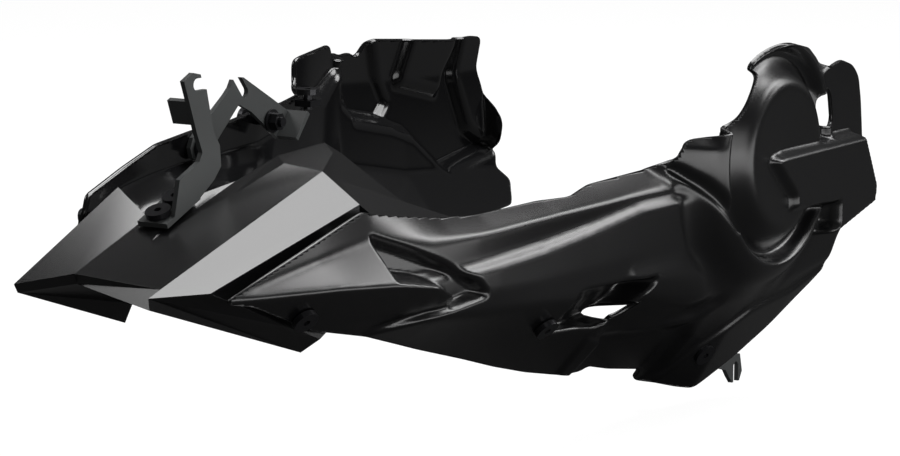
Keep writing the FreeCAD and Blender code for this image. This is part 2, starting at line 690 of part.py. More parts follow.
for point in FORK_POINTS:
    draw_circle(sketch, point[0] - size("fork_slot_x"), point[1] - size("fork_slot_z"), HOLE_FORMULA)
pocket(fork, sketch, "fork_bores")
keep(fork, "fork_bracket", fork_place)

# Rear bracket: foot behind the heel of the left panel, arm and downward-open fork.
REAR_ARM = ((518, 13), (518, 20), (540, 22), (592, 13), (610, 9), (613, -3), (609, -9), (599, -9),
            (594, -4), (590, 1), (560, 9), (540, 11))
rear = doc.addObject("PartDesign::Body", "rear_bracket")
rear_place = level_seat(size("rear_slot_x"), -size("rear_slot_y"), size("rear_slot_z"), UPRIGHT)
sketch = sketch_on(rear, "XZ_Plane", "rear_arm_outline", NO_SHIFT)
draw_outline(sketch, from_point(REAR_ARM, size("rear_slot_x"), size("rear_slot_z")))
pad(rear, sketch, "rear_arm", "Sizes.plate_thick", 0)
rear_depth = size("pad_thick") + size("seat_gap") + size("plate_thick")
foot_shift = rear_place.inverse().multiply(HEEL).multiply(Placement(Vector(0, 0, -rear_depth), UPRIGHT))
half = size("rear_foot") / 2
sketch = sketch_on(rear, "XY_Plane", "rear_foot_outline", foot_shift)
draw_outline(sketch, ((-half, -22), (half, -22), (half, 11), (-half, 11)))
pad(rear, sketch, "rear_foot_fold", "Sizes.plate_thick", 1)
sketch = sketch_on(rear, "XZ_Plane", "rear_slot_outline",
                   Placement(Vector(0, 0, 0), Rotation(Vector(0, 0, 1), -90)))
draw_slot(sketch, "Sizes.rear_slot_width / 2", 25)
pocket(rear, sketch, "rear_slot")
sketch = sketch_on(rear, "XY_Plane", "rear_foot_hole", foot_shift)
draw_circle(sketch, 0, 0, HOLE_FORMULA)
pocket(rear, sketch, "rear_foot_bore")
keep(rear, "rear_bracket", rear_place)


def bound(kind, name, formulas):
    item = doc.addObject(kind, name)
    for target, formula in formulas.items():
        item.setExpression(target, formula)
    return item


def bar(name, sides, formulas):
    """Straight bar of many flats, round enough for its size."""
    item = bound("Part::Prism", name, formulas)
    item.Polygon = sides
    return item


def screw(name, frame, grip):
    """Button-head screw seated at a frame, its shank as long as the formula says."""
    head = bar(name + "_head", HEAD_FLATS, {
        "Circumradius": "Sizes.head_diameter / 2", "Height": "Sizes.head_rise",
        "Placement.Base.z": "Sizes.seat_gap"})
    shank = bar(name + "_shank", SHANK_FLATS, {
        "Circumradius": "Sizes.shank_diameter / 2", "Height": grip + " + 2 * Sizes.seat_gap",
        "Placement.Base.z": "-(" + grip + ")"})
    whole = doc.addObject("Part::MultiFuse", name + "_blank")
    whole.Shapes = [head, shank]
    socket = bar(name + "_socket", 6, {
        "Circumradius": "Sizes.socket_width / sqrt(3)", "Height": "Sizes.head_rise",
        "Placement.Base.z": "Sizes.seat_gap + Sizes.head_rise - Sizes.socket_depth"})
    item = doc.addObject("Part::Cut", name)
    item.Base = whole
    item.Tool = socket
    item.Placement = DATUM.multiply(frame)
    return item


def ring(name, frame, sides, radius, depth, thick):
    """Washer or nut whose upper face lies a depth under a frame."""
    body = bar(name + "_blank", sides, {"Circumradius": radius, "Height": thick})
    bore = bar(name + "_bore", SHANK_FLATS, {
        "Circumradius": HOLE_FORMULA, "Height": "2 * (" + thick + ")", "Placement.Base.z": "-(" + thick + ") / 2"})
    cut = doc.addObject("Part::Cut", name)
    cut.Base = body
    cut.Tool = bore
    drop = Placement(Vector(0, 0, -depth), UPRIGHT)
    cut.Placement = DATUM.multiply(frame).multiply(drop)
    return cut


def washer(name, frame, depth):
    return ring(name, frame, HEAD_FLATS, "Sizes.washer_diameter / 2", depth + size("washer_thick"),
                "Sizes.washer_thick")


def nut(name, frame, depth):
    return ring(name, frame, 6, "Sizes.nut_width / sqrt(3)", depth + size("nut_thick"), "Sizes.nut_thick")


def group(label, items):
    item = doc.addObject("Part::Compound", label)
    item.Links = items
    keep(item, label, DATUM.inverse())


STACK = "Sizes.seat_gap * 3 + Sizes.washer_thick + Sizes.nut_thick + Sizes.thread_spare"
gap = size("seat_gap")


def stack(label, frames, grips, depths):
    """Screws, washers and nuts of one joint: grip in words, depth of the washer under each seat."""
    screws = []
    washers = []
    nuts = []
    for i, (frame, grip, depth) in enumerate(zip(frames, grips, depths), start=1):
        screws.append(screw(f"{label}_screw_{i}", frame, grip + " + " + STACK))
        washers.append(washer(f"{label}_washer_{i}", frame, depth + gap))
        nuts.append(nut(f"{label}_nut_{i}", frame, depth + 2 * gap + size("washer_thick")))
    group(f"{label}_screws", screws)
    group(f"{label}_washers", washers)
    group(f"{label}_nuts", nuts)


seam_grip = "Sizes.pad_thick + Sizes.boss_screw_grip - Sizes.seat_gap"
group("seam_screws", [screw("left_seam_screw", LEFT_SEAM, seam_grip),
                      screw("right_seam_screw", RIGHT_SEAM, seam_grip)])
stack("body", [LEFT_BODY], ["Sizes.pad_thick"], [size("pad_thick")])
stack("heel", [HEEL], ["Sizes.pad_thick + Sizes.plate_thick + Sizes.seat_gap"],
      [size("pad_thick") + size("plate_thick") + gap])
fork_depths = [fork_seat_y(point) - size("fork_plate_y") + size("plate_thick") / 2 for point in FORK_POINTS]
stack("fork_bracket", [fork_seat(point) for point in FORK_POINTS],
      [str(round(depth, 3)) for depth in fork_depths], fork_depths)
foot_depth = size("plate_thick") + gap + size("foot_pad")
stack("front_bracket", [foot_bolt(-1), foot_bolt(1)],
      ["Sizes.plate_thick + Sizes.seat_gap + Sizes.foot_pad"] * 2, [foot_depth] * 2)
top = screw("lug_screw_1", LUG, "Sizes.panel_wall + Sizes.seat_gap + Sizes.clip_thick + Sizes.thread_spare")
group("lug_screw", [top])
clip = bound("Part::Box", "clip_blank", {
    "Length": "Sizes.clip_width", "Width": "Sizes.clip_width", "Height": "Sizes.clip_thick",
    "Placement.Base.x": "-Sizes.clip_width / 2", "Placement.Base.y": "-Sizes.clip_width / 2"})
clip_bore = bound("Part::Cylinder", "clip_bore", {"Radius": HOLE_FORMULA, "Height": "2 * Sizes.clip_thick"})
clip_bore.Placement.Base.z = -1
clip_nut = doc.addObject("Part::Cut", "lug_clip_nut")
clip_nut.Base = clip
clip_nut.Tool = clip_bore
clip_drop = size("panel_wall") + gap + size("clip_thick")
keep(clip_nut, "lug_clip_nut", LUG.multiply(Placement(Vector(0, 0, -clip_drop), UPRIGHT)))

doc.recompute()
for item in doc.Objects:
    if "Invalid" in item.State or "Error" in item.State:
        raise RuntimeError(f"{item.Name} did not build: {item.State}")
for item in SUBPARTS:
    shape = item.Shape
    if shape.isNull() or not shape.isValid():
        raise RuntimeError(f"{item.Label} has no valid shape")
    print(item.Label, len(shape.Solids), "solid", round(shape.Volume), "mm3")

os.makedirs("parts", exist_ok=True)
for item in SUBPARTS:
    item.Shape.exportStep(f"parts/{item.Label}.step")
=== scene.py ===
import bpy
import math
import numpy as np
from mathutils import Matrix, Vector


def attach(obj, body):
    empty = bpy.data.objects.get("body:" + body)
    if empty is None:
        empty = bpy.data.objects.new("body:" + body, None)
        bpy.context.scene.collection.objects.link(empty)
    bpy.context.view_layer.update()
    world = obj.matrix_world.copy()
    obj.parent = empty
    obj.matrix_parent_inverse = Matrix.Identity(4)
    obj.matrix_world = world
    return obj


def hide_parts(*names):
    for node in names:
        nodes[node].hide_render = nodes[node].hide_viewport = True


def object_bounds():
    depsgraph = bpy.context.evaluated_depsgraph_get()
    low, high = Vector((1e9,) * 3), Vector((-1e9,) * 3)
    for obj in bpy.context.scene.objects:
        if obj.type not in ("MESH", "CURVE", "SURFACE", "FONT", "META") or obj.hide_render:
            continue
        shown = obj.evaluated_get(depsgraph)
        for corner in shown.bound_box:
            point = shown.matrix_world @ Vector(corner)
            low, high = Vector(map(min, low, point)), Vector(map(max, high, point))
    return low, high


# Motorcycle belly pan: satin black mouldings, dark grey brackets, black screws.
# Metres. The origin is the centre of the front bracket's slot, X to the rear, Z up, and
# the left side panel lies towards -Y.

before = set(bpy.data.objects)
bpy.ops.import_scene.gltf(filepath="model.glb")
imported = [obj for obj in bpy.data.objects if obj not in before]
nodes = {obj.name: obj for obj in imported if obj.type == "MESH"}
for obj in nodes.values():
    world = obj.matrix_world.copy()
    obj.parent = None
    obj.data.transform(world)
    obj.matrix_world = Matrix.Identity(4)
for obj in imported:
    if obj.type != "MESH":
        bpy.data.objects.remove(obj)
start_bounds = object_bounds()


# Materials

GRAIN_DETAIL = 3.0
GRAIN_HEIGHT = 0.0003


def add_grain(tree, shader, scale, strength):
    """Fine moulded grain as a bump in object coordinates."""
    coords = tree.nodes.new("ShaderNodeTexCoord")
    noise = tree.nodes.new("ShaderNodeTexNoise")
    noise.inputs["Scale"].default_value = scale
    noise.inputs["Detail"].default_value = GRAIN_DETAIL
    bump = tree.nodes.new("ShaderNodeBump")
    bump.inputs["Strength"].default_value = strength
    bump.inputs["Distance"].default_value = GRAIN_HEIGHT
    tree.links.new(coords.outputs["Object"], noise.inputs["Vector"])
    tree.links.new(noise.outputs["Fac"], bump.inputs["Height"])
    tree.links.new(bump.outputs["Normal"], shader.inputs["Normal"])


def finish(name, colour, roughness, specular, grain_scale, grain_strength, metallic=0.0):
    material = bpy.data.materials.new(name)
    material.use_nodes = True
    tree = material.node_tree
    shader = tree.nodes["Principled BSDF"]
    shader.inputs["Base Color"].default_value = (*colour, 1)
    shader.inputs["Roughness"].default_value = roughness
    shader.inputs["Specular IOR Level"].default_value = specular
    shader.inputs["Metallic"].default_value = metallic
    add_grain(tree, shader, grain_scale, grain_strength)
    return material


SATIN = finish("satin_black", (0.0035, 0.0035, 0.004), roughness=0.27, specular=0.8,
               grain_scale=1800, grain_strength=0.012)
GLOSS = finish("gloss_black", (0.006, 0.006, 0.0066), roughness=0.13, specular=0.7,
               grain_scale=900, grain_strength=0.01)
STEEL = finish("grey_coat", (0.066, 0.070, 0.070), roughness=0.48, specular=0.5,
               grain_scale=2500, grain_strength=0.12)
BLACK_ZINC = finish("black_zinc", (0.03, 0.03, 0.033), roughness=0.28, specular=0.6,
                    grain_scale=3000, grain_strength=0.1, metallic=0.6)

# Every node that isn't named here is a screw, a washer or a nut.
FINISHES = {
    "left_side_panel": SATIN,
    "nose_panel": SATIN,
    "right_side_panel": GLOSS,
    "front_bracket": STEEL,
    "fork_bracket": STEEL,
    "rear_bracket": STEEL,
}


# Measures of the mouldings, in millimetres from the fang tips as in the part's source

SLOT = (107.5, 0.0, 236.0)
MM_PER_METRE = 1000
STEP = 1.5
WALL = 3.0
RIM = 0.9
RIM_TURNS = (45, 90, 135)
LEFT = -1
RIGHT = 1

# Lines along the panels, each point as X, distance outward and Z
LEFT_TOP = ((34, 74, 131.5), (94, 80, 149), (152, 86, 166), (178, 88, 160), (218, 90, 154),
            (256, 93, 151), (318, 97, 152), (371, 103, 155), (430, 111, 159), (455, 123, 162),
            (480, 132, 170), (700, 140, 170))
LEFT_CREASE = ((130, 87, 150), (150, 90, 150), (200, 101, 142), (240, 107, 142),
               (322, 115, 145), (390, 121, 145), (455, 128, 145), (700, 140, 145))
LEFT_BELT = ((130, 94, 116), (150, 97, 116), (197, 108, 119), (253, 113, 122),
             (302, 116, 125), (353, 120, 130), (404, 125, 137), (458, 131, 138),
             (700, 142, 138))
LEFT_CHIN = ((130, 92, 104), (200, 106, 98), (300, 116, 92), (400, 122, 84),
             (500, 124, 62), (600, 132, 70), (700, 142, 84))
LEFT_HEM = ((34, 73, 127.5), (91, 75, 108), (112, 75, 101), (162, 74, 89), (224, 73, 72),
            (313, 71, 47), (395, 70, 27), (490, 78, 16), (535, 85, -2), (600, 106, 30),
            (640, 122, 60), (700, 140, 76))
LOBE_FACET = ((34, 74.5, 131), (74, 79, 138), (108, 83, 143), (150, 90, 150), (200, 96, 157))
LOBE_RIDGE = ((34, 75, 129.5), (110, 98, 127), (184, 118, 121), (200, 122, 120))
RIGHT_TOP = ((80, 62, 158), (88, 65, 168), (132, 72, 181), (176, 80, 189), (221, 85, 192),
             (250, 88, 191), (292, 92, 195), (330, 96, 196), (362, 100, 200), (376, 112, 216),
             (430, 118, 221), (492, 122, 219), (587, 126, 210), (670, 130, 208))
RIGHT_CHEEK = ((80, 65, 155), (132, 75, 168), (200, 86, 170), (300, 95, 172), (362, 106, 184),
               (430, 122, 196), (520, 130, 190), (670, 134, 186))
RIGHT_CHIN = ((80, 64, 149), (132, 68, 157), (200, 68, 158), (300, 74, 154), (372, 96, 150),
              (430, 118, 140), (520, 126, 124), (670, 130, 112))
RIGHT_HEM = ((80, 62, 145), (132, 65, 149), (200, 38, 148), (300, 34, 130), (372, 44, 112),
             (430, 70, 96), (520, 96, 86), (670, 120, 82))

# Outlines in side view, each point as X and Z
LEFT_OUTLINE = ((34, 131.5), (94, 149), (148, 165.5), (154, 164), (178, 160), (218, 154),
                (256, 151), (318, 152), (345, 151.5), (371, 155.5), (428, 158.5), (444, 162),
                (447, 170), (452, 175), (476, 178), (488, 184), (504, 200), (517, 211),
                (511, 212), (513, 216), (526, 221), (544, 226), (562, 225), (586, 221),
                (606, 213), (616, 205), (634, 208), (651, 203), (660, 195), (664, 178),
                (666, 160), (670, 122), (664, 108), (645, 90), (629, 59), (615, 47),
                (595, 30), (570, 13), (544, 1), (535, -2), (520, 1), (491, 9), (490, 16.5),
                (451, 23), (425, 29), (421, 26), (407, 26), (395, 28), (352, 37), (313, 47),
                (275, 58), (224, 72), (162, 90), (112, 101), (91, 109), (52, 124), (34, 127))
NOTCH = ((90, 185), (148, 185), (148, 151), (176, 141), (205, 129), (232, 115), (240, 107),
         (192, 101), (138, 88), (90, 75))
LOBE_AREA = ((10, 200), (149, 200), (150, 150), (153, 127), (184, 120), (222, 104),
             (138, 50), (10, 50))
SCOOP = ((336, 91), (343, 93), (416, 91), (410, 85), (406, 78), (396, 68), (384, 66),
         (366, 68), (335, 69))
SCOOP_GAP = ((393, 69.5), (398, 73), (407, 76), (415, 76), (412, 71.5), (406, 68), (398, 67.5))
LOWER_BAND = ((404, 56), (440, 52), (490, 50), (500, 40), (500, -25), (404, -25))
BOX_FACE = ((517, 155), (530, 157), (645, 157), (663, 122), (660, 111), (601, 97), (607, 104),
            (607, 118), (584, 119), (545, 121), (545, 130))
EAR = ((596, 196), (608, 204), (634, 212), (656, 206), (668, 190), (668, 150), (596, 150))
EAR_HOLE = ((597, 187), (617, 191), (622, 166), (600, 167))
FIST = ((393, 96), (412, 98), (444, 98), (477, 93), (499, 84), (500, 76), (484, 71), (464, 74),
        (432, 82), (404, 88))
UNDER_FIST = ((398, 70), (415, 76), (440, 70), (470, 66), (500, 68), (506, 64), (490, 57),
              (460, 52), (425, 53), (398, 59))
SEAM_TAB = ((384, 57), (404, 51), (404, 34), (399, 24), (388, 24))
FLANGE = ((494, 6), (504, 15), (516, 31), (534, 41), (555, 51), (601, 58), (640, 72),
          (672, 62), (535, -14))
SHELF = ((430, 172), (447, 169.5), (461, 168), (474, 167.5), (479, 172), (477, 196), (430, 196))
RECESS = ((438, 158), (446, 167), (462, 165.5), (464, 155), (452, 151))
SLIT = ((444, 156), (456, 146), (465, 137), (484, 117))
RIGHT_OUTLINE = ((81, 157), (83, 164), (88, 171), (132, 181), (176, 189), (221, 192),
                 (250, 191), (292, 195), (330, 196), (362, 200), (372, 204), (377, 216),
                 (385, 218), (426, 222), (432, 213), (440, 211), (448, 214), (458, 211),
                 (469, 212), (480, 208), (492, 219), (587, 210), (614, 210), (628, 208),
                 (629, 184), (641, 161), (645, 147), (641, 115), (656, 104), (646, 88),
                 (520, 86), (430, 96), (372, 112), (300, 131), (200, 149), (132, 151),
                 (82, 146))
RIGHT_BLISTER = ((438, 230), (640, 230), (640, 128), (577, 120), (533, 150), (505, 159),
                 (452, 170))
RIGHT_CORNER = ((362, 196), (372, 230), (428, 230), (440, 204), (404, 190))
RIGHT_RECESS = ((444, 230), (484, 230), (506, 192), (519, 172), (505, 162), (452, 172),
                (436, 182))
RIGHT_PATCH = ((538, 230), (598, 230), (596, 203), (580, 173), (529, 185))
RIGHT_END = ((601, 230), (660, 230), (660, 120), (616, 145), (600, 181))

# Relief, each as an outline, its height outward and the width of its edge
LEFT_RELIEF = (
    (LOWER_BAND, -5, 3),
    (SEAM_TAB, 2.5, 2.5),
    (FIST, 4, 20),
    (UNDER_FIST, -5, 10),
    (FLANGE, 3, 2.5),
    (RECESS, -5, 3),
)
RIGHT_RELIEF = (
    (RIGHT_BLISTER, 12, 6),
    (RIGHT_CORNER, 7, 5),
    (RIGHT_PATCH, -6, 5),
    (RIGHT_RECESS, 4, 5),
    (RIGHT_END, -7, 4),
)
NOTCH_RELIEF = (NOTCH, -9, 4)
SCOOP_DEPTH = 12
SCOOP_EXTRA_DEPTH = 12
SCOOP_EDGE = 4
SCOOP_MIDDLE = 372
SCOOP_SLOPE_LENGTH = 36

# The body panel falls away ahead of this X, where the lobe takes over.
BODY_FRONT = 132
BODY_FRONT_SLOPE = 3

# Shroud profile, each point as the radius from the axis and the distance outward
SHROUD_AXIS = (540.0, 156.0)
SHROUD = ((0, 152), (43, 153), (47, 152.5), (50, 151), (60, 141), (63, 139), (66, 139.5),
          (68, 147.5), (69.5, 149.5), (72, 149), (79, 144), (86, 136), (94, 126), (300, -120))
SHROUD_BLEND = 12
SHELF_SLOPE = 0.9
SHELF_REACH = 14
SHELF_FADE_RADIUS = 76
SHELF_FADE = 10
SLIT_DEPTH = 4.5
SLIT_WIDTH = 2.6

# Forms with a face of their own: distance outward, slope round the face and blend
BOX_OUT, BOX_SLOPE, BOX_BLEND = 158, 7, 5
EAR_OUT, EAR_SLOPE, EAR_BLEND = 144, 5, 6
LOBE_SLOPE, LOBE_BLEND = 6, 2

# How far the sections run on past the outline
LEFT_SPARE = 120
RIGHT_TOP_SPARE = 60
RIGHT_HEM_SPARE = 90

# The belt's valley and the swell below it, on the left body
VALLEY_IN = 5.0
VALLEY_RISE = 4.0
SWELL = 1.5


# Sections and fields

def at_station(line, x):
    """Distance outward and Z of a line at an X."""
    along = [p[0] for p in line]
    return tuple(np.interp(x, along, [p[which] for p in line]) for which in (1, 2))


def beyond(a, b, spare):
    """Point past b on the straight line from a."""
    share = 1 + spare / math.hypot(b[0] - a[0], b[1] - a[1])
    return (a[0] + (b[0] - a[0]) * share, a[1] + (b[1] - a[1]) * share)


def left_body_path(x):
    top, crease, belt, chin, hem = [
        at_station(line, x) for line in (LEFT_TOP, LEFT_CREASE, LEFT_BELT, LEFT_CHIN, LEFT_HEM)]
    valley = (belt[0] - VALLEY_IN, belt[1] + min(VALLEY_RISE, (crease[1] - belt[1]) / 2))
    middle = ((belt[0] + chin[0]) / 2 + SWELL, (belt[1] + chin[1]) / 2)
    return [beyond(crease, top, LEFT_SPARE), crease, valley, belt, middle, chin,
            beyond(chin, hem, LEFT_SPARE)]


def lobe_path(x):
    top, facet, ridge, hem = [
        at_station(line, x) for line in (LEFT_TOP, LOBE_FACET, LOBE_RIDGE, LEFT_HEM)]
    return [beyond(facet, top, LEFT_SPARE), facet, ridge, beyond(ridge, hem, LEFT_SPARE)]


def right_path(x):
    top, cheek, chin, hem = [
        at_station(line, x) for line in (RIGHT_TOP, RIGHT_CHEEK, RIGHT_CHIN, RIGHT_HEM)]
    return [beyond(cheek, top, RIGHT_TOP_SPARE), cheek, chin,
            beyond(chin, hem, RIGHT_HEM_SPARE)]


def height_field(path, xs, zs):
    """Outward distance over the X-Z grid from a section path at every x."""
    field = np.empty((len(xs), len(zs)))
    for i, x in enumerate(xs):
        line = sorted(path(x), key=lambda p: p[1])
        field[i] = np.interp(zs, [p[1] for p in line], [p[0] for p in line])
    return field


def line_distance(points, px, pz):
    """Distance over the grid to an open line of points."""
    best = np.full(px.shape, np.inf)
    for (ax, az), (bx, bz) in zip(points, points[1:]):
        dx, dz = bx - ax, bz - az
        length = max(dx * dx + dz * dz, 1e-9)
        share = np.clip(((px - ax) * dx + (pz - az) * dz) / length, 0, 1)
        best = np.minimum(best, np.hypot(px - (ax + dx * share), pz - (az + dz * share)))
    return best


def signed_distance(outline, px, pz):
    """Distance over the grid to a closed outline, positive inside it."""
    closed = outline + outline[:1]
    inside = np.zeros(px.shape, bool)
    for (ax, az), (bx, bz) in zip(closed, closed[1:]):
        if az != bz:
            crossing = (az > pz) != (bz > pz)
            inside ^= crossing & (px < ax + (bx - ax) * (pz - az) / (bz - az))
    gap = line_distance(closed, px, pz)
    return np.where(inside, gap, -gap)


def rounded(outline, reach=2.5):
    """Outline with its corners cut back twice, the second time by half as much."""
    points = [tuple(map(float, p)) for p in outline]
    for cut_back in (reach, reach / 2):
        cut = []
        for a, b in zip(points, points[1:] + points[:1]):
            length = math.hypot(b[0] - a[0], b[1] - a[1])
            share = min(0.25, cut_back / max(length, 1e-6))
            cut.append((a[0] + (b[0] - a[0]) * share, a[1] + (b[1] - a[1]) * share))
            cut.append((b[0] - (b[0] - a[0]) * share, b[1] - (b[1] - a[1]) * share))
        points = cut
    return points


def soft_max(a, b, blend):
    """Larger of two fields, with a fillet where they meet."""
    mix = np.clip(0.5 + 0.5 * (a - b) / blend, 0, 1)
    return b + (a - b) * mix + blend * mix * (1 - mix) * 0.5


def blur(field, passes):
    """Field smoothed with weights of 1, 2 and 1 along X and then along Z."""
    for _ in range(passes):
        padded = np.pad(field, 1, mode="edge")
        field = (padded[:-2, 1:-1] + padded[2:, 1:-1] + 2 * padded[1:-1, 1:-1]) / 4
        padded = np.pad(field, 1, mode="edge")
        field = (padded[1:-1, :-2] + padded[1:-1, 2:] + 2 * padded[1:-1, 1:-1]) / 4
    return field


def ramp(distance, width):
    """0 outside an edge to 1 inside it over a width."""
    share = np.clip(distance / width + 0.5, 0, 1)
    return share * share * (3 - 2 * share)


def steepness(field):
    """Slopes of a field along X and Z."""
    return np.gradient(field, STEP, axis=0), np.gradient(field, STEP, axis=1)


def with_relief(field, relief, px, pz):
    """Field raised inside each outline by its height."""
    for outline, height, width in relief:
        field = field + height * ramp(signed_distance(outline, px, pz), width)
    return field


def falling_away(field, slope, outline, px, pz):
    """Field inside an outline, falling by a slope outside it."""
    return field - slope * np.maximum(0, -signed_distance(outline, px, pz))


# Walls

def to_frame(points):
    return (points - SLOT) / MM_PER_METRE


def new_piece(name, points, polygons, material):
    mesh = bpy.data.meshes.new(name)
    mesh.from_pydata(to_frame(points).tolist(), [], polygons)
    mesh.validate()
    mesh.update()
    for face in mesh.polygons:
        face.use_smooth = True
    piece = bpy.data.objects.new(name, mesh)
    bpy.context.scene.collection.objects.link(piece)
    mesh.materials.append(material)
    return piece


def unit(vectors):
    return vectors / np.maximum(np.linalg.norm(vectors, axis=1, keepdims=True), 1e-6)


def cut_grid(edge, sample):
    """Faces over the grid where the edge distance is positive, and the edges of their rim.

    Cells across the zero line are cut along it. sample(a, b, share) adds the point at a
    share of the way from one grid point to another and returns its number.
    """
    inside = edge > 0
    number = -np.ones(inside.shape, int)
    for i, k in zip(*np.nonzero(inside)):
        number[i, k] = sample((i, k), (i, k), 0.0)
    cuts = {}

    def crossing(a, b):
        key = (a, b) if a < b else (b, a)
        if key not in cuts:
            low, high = edge[key[0]], edge[key[1]]
            cuts[key] = sample(*key, low / (low - high))
        return cuts[key]

    corners = (inside[:-1, :-1], inside[1:, :-1], inside[1:, 1:], inside[:-1, 1:])
    full = np.logical_and.reduce(corners)
    some = np.logical_or.reduce(corners)
    faces = [(number[i, k], number[i + 1, k], number[i + 1, k + 1], number[i, k + 1])
             for i, k in zip(*np.nonzero(full))]
    rim = []
    for i, k in zip(*np.nonzero(some & ~full)):
        ring = ((i, k), (i + 1, k), (i + 1, k + 1), (i, k + 1))
        loop = []
        is_cut = []
        for a, b in zip(ring, ring[1:] + ring[:1]):
            if inside[a]:
                loop.append(number[a])
                is_cut.append(False)
            if inside[a] != inside[b]:
                loop.append(crossing(a, b))
                is_cut.append(True)
        for n in range(len(loop)):
            after = (n + 1) % len(loop)
            if is_cut[n] and is_cut[after]:
                rim.append((loop[n], loop[after]))
        if len(loop) > 2:
            faces.append(tuple(loop))
    return faces, rim


def moulding(name, xs, zs, field, edge, side, material):
    """Closed wall over the grid where the edge distance is positive, with a rounded rim."""
    edge = edge - RIM
    grids = (field, *steepness(blur(field, 1)), *steepness(edge))
    table = []

    def sample(a, b, share):
        x = xs[a[0]] * (1 - share) + xs[b[0]] * share
        z = zs[a[1]] * (1 - share) + zs[b[1]] * share
        height, *slopes = [grid[a] * (1 - share) + grid[b] * share for grid in grids]
        table.append((x, height, z, *slopes))
        return len(table) - 1

    faces, rim = cut_grid(edge, sample)
    data = np.array(table)
    outer = data[:, :3]
    slope_x, slope_z = data[:, 3], data[:, 4]
    normal = unit(np.stack([-slope_x, np.ones(len(data)), -slope_z], 1))
    count = len(outer)
    points = [outer, outer - normal * WALL]
    polygons = [f[::-1] for f in faces] + [tuple(v + count for v in f) for f in faces]

    bound = sorted({v for pair in rim for v in pair})
    place = {v: n for n, v in enumerate(bound)}
    away = unit(-data[bound, 5:7])
    climb = slope_x[bound] * away[:, 0] + slope_z[bound] * away[:, 1]
    tangent = unit(np.stack([away[:, 0], climb, away[:, 1]], 1))
    middle = outer[bound] - normal[bound] * WALL / 2
    bands = []
    for turn in RIM_TURNS:
        angle = math.radians(turn)
        bands.append(2 * count + len(bands) * len(bound))
        points.append(middle + normal[bound] * (WALL / 2 * math.cos(angle))
                      + tangent * (RIM * math.sin(angle)))
    for pair in rim:
        a, b = [[v] + [band + place[v] for band in bands] + [v + count] for v in pair]
        polygons += [(a[n], a[n + 1], b[n + 1], b[n]) for n in range(len(bands) + 1)]
    if side == LEFT:
        polygons = [p[::-1] for p in polygons]
    return new_piece(name, np.concatenate(points) * (1, side, 1),
                     [tuple(int(v) for v in p) for p in polygons], material)


def left_panel():
    xs = np.arange(30, 675, STEP)
    zs = np.arange(-6, 230, STEP)
    px, pz = np.meshgrid(xs, zs, indexing="ij")
    main = blur(height_field(left_body_path, xs, zs), 3)
    main = main - BODY_FRONT_SLOPE * np.maximum(0, BODY_FRONT - px)
    scoop = -(SCOOP_DEPTH + SCOOP_EXTRA_DEPTH * ramp(px - SCOOP_MIDDLE, SCOOP_SLOPE_LENGTH))
    relief = (NOTCH_RELIEF, (SCOOP, scoop, SCOOP_EDGE)) + LEFT_RELIEF
    main = with_relief(main, relief, px, pz)
    radius = np.hypot(px - SHROUD_AXIS[0], pz - SHROUD_AXIS[1])
    shroud = np.interp(radius, [p[0] for p in SHROUD], [p[1] for p in SHROUD])
    field = soft_max(main, blur(shroud, 1), SHROUD_BLEND)
    shelf = SHELF_SLOPE * np.clip(signed_distance(SHELF, px, pz), 0, SHELF_REACH)
    field = field - shelf * ramp(radius - SHELF_FADE_RADIUS, SHELF_FADE)
    field = soft_max(field, falling_away(EAR_OUT, EAR_SLOPE, EAR, px, pz), EAR_BLEND)
    field = soft_max(field, falling_away(BOX_OUT, BOX_SLOPE, BOX_FACE, px, pz), BOX_BLEND)
    groove = ramp(SLIT_WIDTH - line_distance(SLIT, px, pz), SLIT_WIDTH)
    field = field - SLIT_DEPTH * groove
    lobe = blur(height_field(lobe_path, xs, zs), 1)
    field = soft_max(field, falling_away(lobe, LOBE_SLOPE, LOBE_AREA, px, pz), LOBE_BLEND)
    edge = signed_distance(rounded(LEFT_OUTLINE), px, pz)
    for hole in (SCOOP_GAP, EAR_HOLE):
        edge = np.minimum(edge, -signed_distance(rounded(hole, 4), px, pz))
    return moulding("left_side_moulding", xs, zs, blur(field, 1), edge, LEFT, SATIN)


def right_panel():
    xs = np.arange(76, 665, STEP)
    zs = np.arange(78, 230, STEP)
    px, pz = np.meshgrid(xs, zs, indexing="ij")
    body = blur(height_field(right_path, xs, zs), 2)
    field = blur(with_relief(body, RIGHT_RELIEF, px, pz), 3)
    edge = signed_distance(rounded(RIGHT_OUTLINE), px, pz)
    return moulding("right_side_moulding", xs, zs, field, edge, RIGHT, GLOSS)


# Corners of the nose, each as X, Y and Z, and its facets
NOSE = {
    "near_tip": (0, -45, 134), "near_low": (2, -44, 127), "near_corner": (35, -61, 133),
    "near_rear_corner": (166, -72, 166), "near_ridge_end": (161, -50, 184),
    "seam_mid": (96, -70, 106), "near_keel_side": (128, -70, 94),
    "near_keel_end": (132, -54, 84), "near_rear_low": (168, -70, 112),
    "lip_near": (11, -45, 137.5), "lip_far": (20, 20, 139), "lip_low": (22, 20, 133),
    "floor_front": (34, -6, 142), "floor_near": (68, 2, 152.5), "floor_far": (91, 22, 161),
    "wall_1": (124, -15, 173), "wall_2": (159, -25, 187), "wall_3": (199, -32, 189),
    "edge_1": (109, 8, 170), "edge_2": (141, -4, 177.5), "edge_3": (177, -8, 188),
    "edge_4": (214, -16, 192),
    "far_ridge_end": (105, 53, 174), "far_tip": (-2, 45, 134), "far_low": (0, 44, 129),
    "far_keel_side": (111, 48, 106), "far_keel_end": (106, 50, 95), "far_side": (110, 60, 160),
    "rear_1": (235, -14, 183), "rear_2": (284, -6, 160), "rear_3": (342, 4, 134),
    "step_1": (183, -46, 176), "step_2": (190, -74, 150), "step_3": (330, -80, 124),
}
